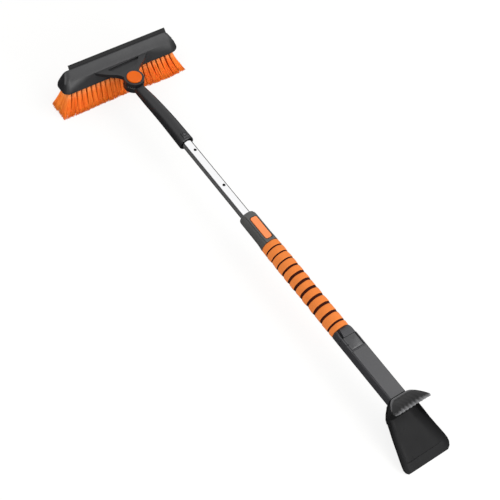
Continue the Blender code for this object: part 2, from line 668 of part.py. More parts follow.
def make_stub(parent, material):
    """The connector that carries the scraper: a spigot in the outer tube and a tapered nose."""
    profile = scaled([(0.0, 696.0), (7.6, 696.0), (10.2, 694.4), (11.2, 690.0), (12.0, 672.0), (12.6, 670.0),
                      (12.6, 664.3), (10.7, 664.3), (10.7, 653.2), (10.3, 652.8), (0.0, 652.8)])
    stub = turned("scraper_stub", profile, "X", parent, material, 40)
    flat = box("stub_flat", (671.6 * MM, -20.0 * MM, STUB_FLAT), (700.0 * MM, 20.0 * MM, 20.0 * MM), parent)
    combine(stub, flat, "DIFFERENCE")
    catch = box("hook_catch", (675.2 * MM, -5.6 * MM, 7.0 * MM), (680.4 * MM, 5.6 * MM, 20.0 * MM), parent)
    return combine(stub, catch, "DIFFERENCE")


def make_scraper_shaft(parent, material):
    """The hollow shaft that slips over the stub and holds the blade."""
    shaft = slab("scraper_shaft", shaft_section(), "YZ", SHAFT_START, SHAFT_END, parent, material)
    bore = scaled([(0.0, 820.0), (10.5, 820.0), (10.5, 698.0), (11.7, 690.0), (12.4, 672.0), (12.9, 669.0),
                   (12.9, 660.0), (0.0, 660.0)])
    combine(shaft, turned("shaft_bore", bore, "X", parent, steps=40), "DIFFERENCE")
    pocket = box("release_pocket", (SHAFT_START - 1.0 * MM, -RELEASE_HALF_WIDTH - 0.4 * MM, 7.0 * MM),
                 (RELEASE_ENDS[1] + 0.4 * MM, RELEASE_HALF_WIDTH + 0.4 * MM, 20.0 * MM), parent)
    combine(shaft, pocket, "DIFFERENCE")
    seat = box("panel_seat", (PANEL_ENDS[0] - 0.4 * MM, -PANEL_HALF_WIDTH - 0.5 * MM, PANEL_SEAT),
               (820.0 * MM, PANEL_HALF_WIDTH + 0.5 * MM, 20.0 * MM), parent)
    combine(shaft, seat, "DIFFERENCE")
    hole = rod("release_pin_hole", 1.3 * MM, -15.9 * MM, 15.9 * MM, "Y", parent, centre=RELEASE_PIVOT,
               steps=16)
    return combine(shaft, hole, "DIFFERENCE")


def make_front_panel(parent, material):
    """The flat inlay on the shaft's front."""
    outline = rounded((PANEL_ENDS[0], -PANEL_HALF_WIDTH), (PANEL_ENDS[1], PANEL_HALF_WIDTH), 1.2 * MM)
    return slab("front_panel", outline, "XY", PANEL_SEAT + GAP, SHAFT_FRONT + 0.2 * MM, parent, material)


def make_release_button(parent, material):
    """The thumb rocker at the shaft's mouth, with the hook that holds the stub."""
    low, high = (end / MM for end in RELEASE_ENDS)
    section = scaled([(low, 11.2), (high, 11.2), (high, 12.4), (697.6, 13.9), (695.8, 15.4), (693.0, 16.4),
                      (688.5, 16.9), (682.0, 16.6), (676.0, 15.7), (low, 14.8)])
    rocker = slab("release_button", section, "XZ", -RELEASE_HALF_WIDTH, RELEASE_HALF_WIDTH, parent, material)
    crown = [(13.8, 5.0), (13.8, 11.8), (13.2, 13.0), (11.8, 14.2), (9.6, 15.3), (6.6, 16.2), (3.4, 16.7),
             (0.0, 16.9)]
    crown = scaled(crown + [(-y, z) for y, z in reversed(crown[:-1])])
    combine(rocker, slab("release_crown", crown, "YZ", 660.0 * MM, 710.0 * MM, parent), "INTERSECT")
    hook = scaled([(676.0, 12.0), (676.0, 9.4), (679.0, 9.4), (679.6, 12.0)])
    combine(rocker, slab("release_hook", hook, "XZ", -5.0 * MM, 5.0 * MM, parent), "UNION")
    bore = rod("release_bore", 1.3 * MM, -15.0 * MM, 15.0 * MM, "Y", parent, centre=RELEASE_PIVOT, steps=16)
    return combine(rocker, bore, "DIFFERENCE")


def visor_row(y, ridge):
    """One section of the ice breaker at a place across it: forward over its top, back underneath."""
    root_half = 15.0 * MM
    sweep = max(0.0, (abs(y) - root_half) / (VISOR_HALF_WIDTH - root_half))
    middle = max(0.0, min(1.0, (RIDGED_HALF_WIDTH - abs(y)) / (8.0 * MM)))
    back_x = VISOR_ROOT_X + VISOR_SWEEP * sweep ** 1.6
    back_z = SHAFT_FRONT + GAP + VISOR_THICKNESS + 12.0 * MM * sweep
    curl = VISOR_CURL * max(0.0, (-y - 0.6 * VISOR_HALF_WIDTH) / (0.4 * VISOR_HALF_WIDTH)) ** 5
    span_x = VISOR_EDGE_X + TOOTH_REACH * (ridge - 0.4) * (1.0 - sweep) - curl - back_x
    span_z = VISOR_EDGE_Z - 2.0 * MM * sweep ** 2 - back_z
    top = []
    bottom = []
    for i in range(VISOR_STEPS + 1):
        part = i / VISOR_STEPS
        bulge = VISOR_BULGE * math.sin(math.pi * part) * (1.0 - 0.6 * sweep)
        rib = RIDGE_HEIGHT * ridge * middle * max(0.0, min(1.0, (part - 0.5) / 0.2)) * (1.0 - 0.5 * part)
        x = back_x + span_x * part
        z = back_z + span_z * part + bulge
        top.append((x, y, z + rib))
        bottom.append((x, y, z - VISOR_THICKNESS * (1.0 - 0.6 * part)))
    return top + bottom[::-1]


def make_ice_breaker(parent, material):
    """The brim over the blade, with a row of ribbed teeth along its forward edge."""
    reach = VISOR_HALF_WIDTH - 1.0 * MM
    steps = VISOR_TEETH * 4
    rows = []
    for i in range(steps + 1):
        ridge = 0.5 - 0.5 * math.cos(math.tau * i / 4.0)
        rows.append(visor_row(-reach + 2.0 * reach * i / steps, ridge))
    return loft("ice_breaker", rows, parent, material)


def pan_section(x, floor, half_floor, half_top, wall_top, thickness):
    """One section across the blade: a flat floor that curls up smoothly into its two walls."""
    start = half_floor - PAN_CURL
    brim = half_top - min(2.0, 0.4 * (half_top - half_floor))
    inner = []
    for i in range(-PAN_STEPS, PAN_STEPS + 1):
        place = i / PAN_STEPS
        curl = max(0.0, (abs(place) * brim - start) / (brim - start))
        inner.append((place, floor + (wall_top - floor) * curl ** 2.4))
    ring = [(place * brim, z) for place, z in inner]
    ring += [(place * half_top, z - thickness) for place, z in reversed(inner)]
    return [(x * MM, y * MM, z * MM) for y, z in ring]


def make_blade(parent, material):
    """The scraper blade: a spigot for the shaft, a shoulder and a shovel-shaped pan."""
    shoulder = []
    for x, half, top, bottom in ((806.3, 17.2, 14.3, -15.2), (809.0, 19.5, 13.0, -16.2),
                                 (815.0, 25.5, 5.0, -18.4), (822.0, 30.5, -6.0, -21.4),
                                 (829.0, 32.0, -21.6, -24.0)):
        outline = rounded((-half, bottom), (half, top), min(3.0, 0.4 * (top - bottom)), 3)
        shoulder.append([(x * MM, y * MM, z * MM) for y, z in outline])
    blade = loft("shovel_blade", shoulder, parent, material)
    soften(blade, 2.0 * MM, 2, 25.0)
    thick = BLADE_THICKNESS / MM
    lip = BLADE_TIP
    stations = ((811.0, -14.8, 13.0, 20.5, 0.0, thick), (820.0, -18.2, 17.5, 31.5, -3.6, thick),
                (827.0, -20.6, 21.5, 35.6, -7.8, thick), (841.0, -25.2, 26.0, 38.8, -13.6, thick),
                (856.0, -29.7, 29.8, 42.2, -20.6, thick), (876.0, -35.6, 34.4, 46.8, -27.6, thick),
                (891.0, -40.0, 37.8, 50.4, -32.8, thick), (898.4, -42.2, 39.3, 51.8, -36.0, thick),
                (899.2, -43.4, 39.8, 51.9, -36.8, 1.9), (905.0, -45.6, 41.0, 52.0, -40.8, 1.7),
                (910.5, -47.6, 42.0, 49.6, -44.9, 1.4),
                (lip.x / MM, lip.z / MM, 41.0, 44.4, lip.z / MM + 0.8, LIP_THICKNESS / MM))
    pan = loft("blade_pan", [pan_section(*station) for station in stations], parent)
    combine(blade, pan, "UNION")
    spigot = rod("blade_spigot", SHAFT_BORE - GAP, 786.0 * MM, 808.0 * MM, "X", parent, steps=32)
    return combine(blade, spigot, "UNION")


# ---------------------------------------------------------------- assembly


def build():
    """Make every piece on the empty of the body it moves with."""
    black = make_material("black_plastic", (0.030, 0.030, 0.031), 0.45)
    grey = make_material("grey_plastic", (0.110, 0.110, 0.112), 0.50)
    orange = make_material("orange_plastic", (0.800, 0.140, 0.012), 0.40)
    pale_orange = make_material("pale_orange_plastic", (0.900, 0.290, 0.090), 0.45)
    foam = make_material("foam", (0.830, 0.210, 0.045), 0.85)
    bristle = make_material("bristle", (0.850, 0.150, 0.015), 0.60)
    rubber = make_material("rubber", (0.015, 0.015, 0.014), 0.60)
    aluminium = make_material("aluminium", (0.800, 0.800, 0.800), 0.20, 1.0)
    steel = make_material("steel", (0.550, 0.550, 0.560), 0.35, 1.0)
    nylon = make_material("nylon", (0.600, 0.590, 0.560), 0.50)

    root = empty("resting_pose", (0.0, 0.0, 0.0))
    tube = empty("tube_slide", (LATCH_X, 0.0, 0.0), root)
    neck = empty("neck_slide", (SNAP_X, 0.0, 0.0), tube)
    snap = empty("snap_slide", (SNAP_X, 0.0, 0.0), neck)
    head = empty("head_pivot", (0.0, 0.0, 0.0), neck)
    button = empty("button_slide", (0.0, 0.0, BUTTON_TOP), neck)
    seat = empty("pivot_seat", (0.0, 0.0, 0.0), neck)
    for moved in (head, button, seat):
        moved.location += HEAD_SHIFT
    lever = empty("lever_pivot", LEVER_PIVOT, root)
    scraper = empty("scraper_slide", (SHAFT_START, 0.0, 0.0), root)
    release = empty("release_pivot", RELEASE_PIVOT, scraper)

    make_housing(head, black)
    make_bristle_base(head, black)
    make_base_screw("base_screw_left", -1.0, head, steel)
    make_base_screw("base_screw_right", 1.0, head, steel)
    make_bristles(head, bristle)
    make_squeegee(head, rubber)
    make_pivot_button(button, orange)
    coil("button_spring", 6.0 * MM, 0.9 * MM, 11.3 * MM, 15.1 * MM, 3.0, seat, steel, (0.0, 0.0, 0.0))
    make_pivot_retainer(seat, steel)
    make_pivot_screw(seat, steel)
    make_friction_washer(seat, nylon)
    make_neck(neck, seat, black)

    make_tube_plug(tube, black)
    make_snap_button(snap, grey)
    coil("snap_spring", 2.2 * MM, 0.6 * MM, 3.8 * MM, 11.6 * MM, 4.0, tube, steel, (SNAP_X, 0.0, 0.0))
    make_inner_tube(tube, aluminium)
    make_tail_guide(tube, nylon)
    make_outer_tube(root, black)
    make_guide_bush(root, nylon)
    make_collar(root, black)
    make_lock_lever(lever, pale_orange)
    rod("latch_pin", 1.8 * MM, TUBE_RADIUS + GAP, 13.6 * MM, "Z", lever, steel, centre=(LATCH_X, 0.0, 0.0),
        steps=20)
    rod("lever_pin", 1.2 * MM, -LEVER_PIN_HALF_LENGTH, LEVER_PIN_HALF_LENGTH, "Y", root, steel,
        centre=LEVER_PIVOT, steps=16)
    make_lever_spring(root, steel)

    make_foam_grip(root, foam)
    make_end_ring(root, black)
    make_stub(root, black)
    make_scraper_shaft(scraper, black)
    make_front_panel(scraper, grey)
    make_release_button(release, grey)
    rod("release_pin", 1.0 * MM, -15.6 * MM, 15.6 * MM, "Y", scraper, steel, centre=RELEASE_PIVOT, steps=16)
    make_ice_breaker(scraper, black)
    make_blade(scraper, black)
    return root


def shade(angle):
    """Shade the pieces smooth, but for the edges sharper than an angle."""
    bpy.context.view_layer.update()
    for piece in PARTS.objects:
        if piece.type == "MESH":
            piece.data.shade_smooth()
            piece.data.set_sharp_from_angle(angle=math.radians(angle))


def stand(root):
    """Tip the tool onto its bristles and blade, with its box centred over the origin."""
    root.rotation_euler = Euler((0.0, REST_TILT, 0.0))
    bpy.context.view_layer.update()
    graph = bpy.context.evaluated_depsgraph_get()
    corners = []
    for piece in PARTS.objects:
        if piece.type != "MESH":
            continue
        seen = piece.evaluated_get(graph)
        corners += [seen.matrix_world @ Vector(corner) for corner in seen.bound_box]
    middle = [(min(c[i] for c in corners) + max(c[i] for c in corners)) / 2.0 for i in range(2)]
    root.location = Vector((-middle[0], -middle[1], -min(c.z for c in corners)))


stand(build())
shade(35.0)
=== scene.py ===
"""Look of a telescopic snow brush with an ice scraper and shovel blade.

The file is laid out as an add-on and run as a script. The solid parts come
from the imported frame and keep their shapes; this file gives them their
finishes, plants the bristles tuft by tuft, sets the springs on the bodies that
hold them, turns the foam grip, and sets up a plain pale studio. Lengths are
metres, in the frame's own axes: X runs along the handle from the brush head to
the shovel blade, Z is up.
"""

import json
import math

import bpy
import numpy as np
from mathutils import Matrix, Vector


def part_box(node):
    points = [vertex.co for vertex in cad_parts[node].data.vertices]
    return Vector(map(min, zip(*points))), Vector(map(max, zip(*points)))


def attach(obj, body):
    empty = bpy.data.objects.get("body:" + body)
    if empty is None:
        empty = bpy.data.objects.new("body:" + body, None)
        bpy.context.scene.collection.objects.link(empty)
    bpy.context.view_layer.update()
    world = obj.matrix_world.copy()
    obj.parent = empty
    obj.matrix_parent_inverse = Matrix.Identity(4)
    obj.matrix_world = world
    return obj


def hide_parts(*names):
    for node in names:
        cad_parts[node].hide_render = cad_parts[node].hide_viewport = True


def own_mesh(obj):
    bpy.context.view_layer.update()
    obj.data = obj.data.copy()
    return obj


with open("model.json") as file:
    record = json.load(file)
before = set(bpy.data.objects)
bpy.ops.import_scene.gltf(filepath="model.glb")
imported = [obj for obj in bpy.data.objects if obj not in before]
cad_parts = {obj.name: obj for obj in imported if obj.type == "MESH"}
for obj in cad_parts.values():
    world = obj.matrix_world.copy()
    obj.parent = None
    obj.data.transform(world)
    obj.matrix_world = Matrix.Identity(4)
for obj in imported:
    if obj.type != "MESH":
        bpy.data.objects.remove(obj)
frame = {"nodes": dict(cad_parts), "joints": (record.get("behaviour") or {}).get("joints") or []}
bpy.context.view_layer.update()

bl_info = {
    "name": "Snow Brush Look",
    "version": (1, 0, 0),
    "blender": (4, 5, 0),
    "location": "View3D > Sidebar > Snow Brush",
    "description": "Finishes, bristles, springs, foam grip and studio for a telescopic snow brush",
    "category": "Object",
}

MM = 0.001
JOINTS = {joint["name"]: joint for joint in frame["joints"]}
HANDLE = Vector(JOINTS["tube_slide"]["axis"]).normalized()

# Parts whose finish differs from that of their material slot.
OWN_FINISHES = {
    "lever_pin": "oxide",
    "release_pin": "oxide",
    "shovel_blade": "blade",
    "ice_breaker": "visor",
    # The collar's lighter finish is painted light for its lit flanks.
    "collar": "collar",
}
# Typical IOR of polypropylene and of ABS.
PP_IOR = 1.49
ABS_IOR = 1.54
# Edges that bend less than this are shaded smooth.
SMOOTH_BELOW = math.radians(32.0)

# Filament drawing: points along it, sides round it, and where along it the bend is.
STRAND_POINTS = 5
STRAND_SIDES = 3
STRAND_BEND = 0.34
# How far the tips lean along the head and forward in millimetres, from its left end (0) to its right (1).
SIDE_PLACES = (0.0, 0.07, 0.2, 0.5, 0.66, 0.76, 0.92, 1.0)
SIDE_LEAN = (-13.0, -4.0, 0.5, 2.0, 6.0, 13.0, 16.0, 23.0)
FORWARD_LEAN = (2.0, 2.5, 1.5, 0.5, 1.5, 5.0, 5.0, 2.0)
# Two shares whose multiples spread points evenly over a square.
SPREAD_A = 0.7549
SPREAD_B = 0.5698
# How deep the roots stand in their block, and the rim that is left round the outer tufts.
ROOT_DEPTH = 1.0 * MM
ROOT_RIM = 0.4 * MM
# How far tufts, tips and bends stray from their places.
TUFT_STRAY_X = 0.25 * MM
TUFT_STRAY_Y = 0.4 * MM
TIP_STRAY = 0.2 * MM
BEND_STRAY = 0.3 * MM
# The tips stop this far above the floor, and some tufts a little higher.
TIP_HEIGHT = 0.3 * MM
TUFT_RISE = 0.2 * MM
# How much the tufts' shades differ, and the strands' within a tuft.
TUFT_SHADES = 0.10
STRAND_SHADES = 0.14
# A tuft's root along X as a share of its width along Y.
ROOT_FLATNESS = 0.9

# Each spring: its piece, its CAD part, the body it rests on, the joint that presses it,
# and the share of its height that is left when pressed.
SPRINGS = (
    ("button_coil", "button_spring", "neck", "button_press", 0.38),
    ("snap_coil", "snap_spring", "tube", "snap_press", 0.7),
    ("lever_leaf", "lever_spring", "grip", "lever_press", 0.1),
)

# Foam drawing: points along a band, sides round the grip, and the gap between tube and foam.
FOAM_BAND_STEPS = 6
FOAM_SIDES = 72
FOAM_GAP = 0.3 * MM
# Height of the slow lumps round the foam, how many waves of them, and their turn along it in radians a metre.
LUMP_HEIGHT = 0.07 * MM
LUMP_WAVES = 4
LUMP_TURN = 60.0
# Half width of the narrowest groove, what the widest has more, and the rounding of a groove's rims.
GROOVE_HALF = 1.5 * MM
GROOVE_WIDER = 1.3 * MM
GROOVE_LIP = 0.55 * MM
# The foam's rounded ends: distances from the end, each with its depth under the outside.
FOAM_START = ((0.0, 1.6 * MM), (0.3 * MM, 1.0 * MM))
FOAM_END = ((0.2 * MM, 0.6 * MM), (0.0, 1.2 * MM))
# How far from each end its first full ring is.
FOAM_START_FULL = 1.2 * MM
FOAM_END_FULL = 0.8 * MM

# Studio: the floor and how much of it looks plain white whatever light falls on it, the dark cards,
# each lamp's place, aim and size, and the camera with its angle of view in degrees.
FLOOR_HALF = 12.0
FLOOR_GLOW = 0.8
SIDE_CARD = [(-1.0, -0.36, 0.0), (0.9, -0.36, 0.0), (0.9, -0.36, 0.25), (-1.0, -0.36, 0.25)]
LOW_CARD_HALF = 3.0
LOW_CARD_HEIGHT = 0.5 * MM
MIDDLE = (0.0, 0.0, 0.0)
LAMPS = (
    ("key", (0.5, 1.5, 1.9), MIDDLE, (1.6, 1.6)),
    ("front", (1.6, 0.5, 0.9), (-0.45, 0.0, 0.0), (1.2, 0.8)),
    ("fill", (0.1, -1.4, 1.8), MIDDLE, (1.8, 1.2)),
)
CAMERA_PLACE = (0.89805, -0.97913, 1.8173)
CAMERA_TURN = (0.8362597, 0.3006318, 0.079359, 0.4516552)
CAMERA_ANGLE = 23.156


def linear(code):
    """An sRGB hex colour as linear red, green, blue and alpha."""
    channels = [int(code[i:i + 2], 16) / 255.0 for i in (1, 3, 5)]
    return tuple(c / 12.92 if c <= 0.04045 else ((c + 0.055) / 1.055) ** 2.4 for c in channels) + (1.0,)


def colour(name, description, code):
    """A colour property with its default given as sRGB hex."""
    return bpy.props.FloatVectorProperty(
        name=name, description=description, subtype="COLOR", size=4, min=0.0, max=1.0, default=linear(code))


def length(name, description, default):
    """A length property in metres."""
    return bpy.props.FloatProperty(
        name=name, description=description, default=default, unit="LENGTH", precision=5)


def power(name, description, default):
    """A lamp's power in watts."""
    return bpy.props.FloatProperty(
        name=name, description=description, default=default, min=0.0, subtype="POWER")


def count(name, description, default):
    """A whole number property."""
    return bpy.props.IntProperty(name=name, description=description, default=default, min=1)


class SnowBrushFinishes(bpy.types.PropertyGroup):
    """Colours of the mouldings, filaments, foam and metals."""

    black: colour("Black mouldings", "Polypropylene of the head, neck and connector", "#1A1A1C")
    shaft: colour("Scraper shaft", "Greyer polypropylene of the scraper's shaft and the end ring", "#303033")
    panel: colour("Grey panel", "ABS of the flat panel, thumb pad and snap button", "#353537")
    button: colour("Pivot button", "Glossy orange ABS of the swivel button", "#D25A00")
    lever: colour("Lock lever", "Pale orange soft skin of the collar's lever", "#E07F47")
    foam: colour("Foam", "Orange EVA foam of the grip", "#D47532")
    # Dark red-brown colour of the grooves' faces.
    groove: colour("Foam grooves", "Black core that shows in the grip's grooves", "#340F08")
    bristle: colour("Bristles", "Orange polyester filaments", "#FF902E")
    bristle_dark: colour("Darker bristles", "Filaments of a deeper batch of orange", "#FF7013")
    # Colour of the painted highlight near the tufts' roots, where they bend out under the light.
    bristle_highlight: colour("Tuft tops", "Filaments seen end on where a tuft bends out", "#FFA258")
    oxide: colour("Blackened steel", "Pins of the lever and the release pad", "#2A2A2C")
    blade: colour("Scraper blade", "Carbon-black polypropylene of the shovel blade and visor", "#0E0E0F")
    # Colour of the painted highlight on the visor's crests and rims.
    crest_highlight: colour("Rubbed crests", "Visor ridges that ice has rubbed pale", "#8A8A8C")
    # A lighter copy of the black polypropylene: painted light for the collar's lit flanks.
    collar: colour("Collar", "Greyer polypropylene of the lock collar", "#464645")
    rubber: colour("Squeegee", "Black rubber of the squeegee blade", "#101011")
    aluminium: colour("Bright aluminium", "Polished tube", "#FAFAFB")
    dark_aluminium: colour("Black aluminium", "Anodised tube inside the grip", "#26262A")
    steel: colour("Steel", "Springs, pins and screws", "#A9A8A6")
    nylon: colour("Nylon", "Bushes, plugs and washers", "#D9D6CC")


class SnowBrushBristles(bpy.types.PropertyGroup):
    """How the bristles are planted and trimmed."""

    columns: count("Columns", "Tufts along the head", 23)
    rows: count("Rows", "Rows of tufts across the head", 4)
    strands: count("Strands", "Filaments drawn in each tuft", 82)
    thickness: length(
        "Strand radius", "Radius of a drawn filament, coarser than the real 0.2 mm", 0.66 * MM)
    root_radius: length("Root radius", "Radius of a tuft where it leaves its hole", 3.5 * MM)
    tip_fill: bpy.props.FloatProperty(
        name="Tip fill", description="Share of its cell that a tuft's tips fill", default=1.02,
        min=0.1, max=1.5)
    forward: length("Forward reach", "How far the front tips stand past the block's edge", 1.0 * MM)
    trim: length("Trim", "Unevenness of the trimmed tips", 0.4 * MM)


class SnowBrushFoam(bpy.types.PropertyGroup):
    """Sizes of the ribbed foam grip."""

    grooves: count("Grooves", "Dark grooves along the grip", 11)
    first: length("First groove", "From the collar's end of the foam to the first groove", 14.0 * MM)
    pitch: length("Pitch", "From the first groove to the second", 16.0 * MM)
    growth: length("Pitch growth", "How much wider each next band is", 0.5 * MM)
    depth: length("Groove depth", "Depth of a groove", 0.8 * MM)
    crown: length("Crown", "How far a band swells between its grooves", 0.2 * MM)


class SnowBrushStudio(bpy.types.PropertyGroup):
    """Light levels of the studio."""

    ambient: bpy.props.FloatProperty(
        name="Ambient", description="Level of the white surroundings", default=0.72, min=0.0)
    key: power("Key", "Power of the lamp high on the +Y side", 22.0)
    fill: power("Fill", "Power of the lamp high on the -Y side", 16.0)
    front: power("Front", "Power of the low lamp beyond the scraper", 14.0)


def add(tree, kind, settings=None, inputs=None):
    """Adds one node with its settings; an input is a value, or an output that is linked to it."""
    node = tree.nodes.new(kind)
    for name, value in (settings or {}).items():
        setattr(node, name, value)
    for name, value in (inputs or {}).items():
        socket = node.inputs[name]
        if isinstance(value, bpy.types.NodeSocket):
            tree.links.new(value, socket)
        else:
            socket.default_value = value
    return node


def new_material(name):
    """An empty node material and its tree."""
    material = bpy.data.materials.new(name)
    material.use_nodes = True
    material.node_tree.nodes.clear()
    return material, material.node_tree


def shade(tree, shader):
    """Links a shader to the material's surface."""
    add(tree, "ShaderNodeOutputMaterial", None, {"Surface": shader.outputs[0]})


def tinted(tree, base, factor, darker, lighter):
    """The base colour taken a little darker and lighter by a pattern's value."""
    low = tuple(c * darker for c in base[:3]) + (1.0,)
    high = tuple(min(1.0, c * lighter) for c in base[:3]) + (1.0,)
    mix = add(tree, "ShaderNodeMix", {"data_type": "RGBA"}, {"Factor": factor})
    for socket, value in ((mix.inputs[6], low), (mix.inputs[7], high)):
        socket.default_value = value
    return mix.outputs[2]


def crest_highlight(tree, base, pale):
    """The base colour with a painted highlight on its crests and rims."""
    # Pointiness is about 0.5 on flat faces and rises on ridges.
    crest = add(tree, "ShaderNodeNewGeometry").outputs["Pointiness"]
    share = add(tree, "ShaderNodeMapRange", None, {
        "Value": crest, "From Min": 0.535, "From Max": 0.615, "To Min": 0.0, "To Max": 0.7})
    mix = add(tree, "ShaderNodeMix", {"data_type": "RGBA"}, {"Factor": share.outputs[0]})
    tree.links.new(base, mix.inputs[6])
    mix.inputs[7].default_value = pale
    return mix.outputs[2]


def moulded(name, base, roughness, grain, depth, ior, spread=0.12, edge=0.5 * MM, specular=0.5, pale=None):
    """An injection-moulded plastic: the mould's sparked grain, and slow changes of shine along the flow.

    Real sparking is about 0.1 mm across; grain is the spacing at which it is drawn, coarse enough to show.
    depth is how deep it is drawn, and edge is the radius that moulded corners show.
    """
    material, tree = new_material(name)
    place = add(tree, "ShaderNodeTexCoord").outputs["Object"]
    flow = add(tree, "ShaderNodeTexNoise", None,
               {"Vector": place, "Scale": 1.0 / (40.0 * MM), "Detail": 3.0, "Roughness": 0.6})
    sparked = add(tree, "ShaderNodeTexNoise", None,
                  {"Vector": place, "Scale": 1.0 / grain, "Detail": 2.0, "Roughness": 0.7})
    shine = add(tree, "ShaderNodeMapRange", None, {
        "Value": flow.outputs[0], "From Min": 0.3, "From Max": 0.7,
        "To Min": roughness - spread / 2.0, "To Max": roughness + spread / 2.0})
    rounded = add(tree, "ShaderNodeBevel", {"samples": 4}, {"Radius": edge})
    bump = add(tree, "ShaderNodeBump", None, {
        "Height": sparked.outputs[0], "Normal": rounded.outputs[0], "Strength": 0.35, "Distance": depth})
    tint = tinted(tree, base, flow.outputs[0], 0.86, 1.16)
    # pale, when given, paints a highlight on the crests and rims.
    if pale is not None:
        tint = crest_highlight(tree, tint, pale)
    shader = add(tree, "ShaderNodeBsdfPrincipled", None, {
        "Base Color": tint, "Roughness": shine.outputs[0],
        "IOR": ior, "Specular IOR Level": specular, "Normal": bump.outputs[0]})
    shade(tree, shader)
    return material


def metal(name, base, roughness, along, across, depth):
    """A drawn or turned metal: fine lines along X, whose light they stretch.

    along and across are the length and spacing of the lines, a few tenths of a millimetre apart on the
    real metal and drawn coarser so that they show.
    """
    material, tree = new_material(name)
    place = add(tree, "ShaderNodeTexCoord").outputs["Object"]
    drawn = add(tree, "ShaderNodeMapping", None, {
        "Vector": place, "Scale": (1.0 / along, 1.0 / across, 1.0 / across)})
    lines = add(tree, "ShaderNodeTexNoise", None,
                {"Vector": drawn.outputs[0], "Scale": 1.0, "Detail": 3.0, "Roughness": 0.6})
    shine = add(tree, "ShaderNodeMapRange", None, {
        "Value": lines.outputs[0], "From Min": 0.3, "From Max": 0.7,
        "To Min": roughness * 0.75, "To Max": roughness * 1.25})
    bump = add(tree, "ShaderNodeBump", None, {
        "Height": lines.outputs[0], "Strength": 0.25, "Distance": depth})
    shader = add(tree, "ShaderNodeBsdfPrincipled", None, {
        "Base Color": tinted(tree, base, lines.outputs[0], 0.95, 1.03), "Metallic": 1.0,
        "Roughness": shine.outputs[0], "Normal": bump.outputs[0]})
    shade(tree, shader)
    return material


def eva_foam(name, base, depth, specular=0.3):
    """Closed-cell EVA foam, skived and sanded: dull, with a fine pitted skin.

    depth is how deep the drawn pits are.
    """
    material, tree = new_material(name)
    place = add(tree, "ShaderNodeTexCoord").outputs["Object"]
    mottle = add(tree, "ShaderNodeTexNoise", None,
                 {"Vector": place, "Scale": 1.0 / (9.0 * MM), "Detail": 3.0, "Roughness": 0.55})
    # Real cells are about 0.2 mm; they are drawn at 0.9 mm so that they show.
    cells = add(tree, "ShaderNodeTexVoronoi", None, {"Vector": place, "Scale": 1.0 / (0.9 * MM)})
    pits = add(tree, "ShaderNodeTexNoise", None,
               {"Vector": place, "Scale": 1.0 / (1.6 * MM), "Detail": 3.0, "Roughness": 0.7})
    skin = add(tree, "ShaderNodeMath", {"operation": "ADD"},
               {0: cells.outputs["Distance"], 1: pits.outputs[0]})
    bump = add(tree, "ShaderNodeBump", None, {
        "Height": skin.outputs[0], "Strength": 0.5, "Distance": depth})
    shader = add(tree, "ShaderNodeBsdfPrincipled", None, {
        "Base Color": tinted(tree, base, mottle.outputs[0], 0.93, 1.07), "Roughness": 0.86,
        "IOR": 1.48, "Specular IOR Level": specular, "Normal": bump.outputs[0]})
    shade(tree, shader)
    return material


def filament(name, light, dark, pale):
    """Extruded polyester filament: satin, deeper and paler strands, and a painted highlight that makes them
    palest near the roots, where the tufts bend out.

    A filament is about 0.3 mm thick and streaks run its whole length; the streaks are drawn 2.4 mm wide
    and 40 mm long, so that they show on the coarser strands.
    """
    material, tree = new_material(name)
    strand = add(tree, "ShaderNodeAttribute", {"attribute_name": "strand_shade"})
    height = add(tree, "ShaderNodeAttribute", {"attribute_name": "strand_place"})
    place = add(tree, "ShaderNodeTexCoord").outputs["Object"]
    stretched = add(tree, "ShaderNodeMapping", None, {
        "Vector": place, "Scale": (1.0 / (2.4 * MM), 1.0 / (2.4 * MM), 1.0 / (40.0 * MM))})
    streak = add(tree, "ShaderNodeTexNoise", None,
                 {"Vector": stretched.outputs[0], "Scale": 1.0, "Detail": 2.0, "Roughness": 0.6})
    both = add(tree, "ShaderNodeMath", {"operation": "ADD"},
               {0: strand.outputs["Fac"], 1: streak.outputs[0]})
    share = add(tree, "ShaderNodeMapRange", None, {
        "Value": both.outputs[0], "From Min": 0.55, "From Max": 1.35, "To Min": 0.0, "To Max": 1.0})
    body = add(tree, "ShaderNodeMix", {"data_type": "RGBA"}, {"Factor": share.outputs[0]})
    body.inputs[6].default_value = dark
    body.inputs[7].default_value = light
    # Painted highlight: strands turn paler towards their roots, where the tufts bend out under the light.
    top = add(tree, "ShaderNodeMapRange", {"interpolation_type": "SMOOTHSTEP"}, {
        "Value": height.outputs["Fac"], "From Min": 0.05, "From Max": 0.42, "To Min": 0.75, "To Max": 0.0})
    mix = add(tree, "ShaderNodeMix", {"data_type": "RGBA"}, {"Factor": top.outputs[0]})
    tree.links.new(body.outputs[2], mix.inputs[6])
    mix.inputs[7].default_value = pale
    shader = add(tree, "ShaderNodeBsdfPrincipled", None, {
        "Base Color": mix.outputs[2], "Roughness": 0.5, "IOR": 1.57, "Specular IOR Level": 0.3})
    shade(tree, shader)
    return material


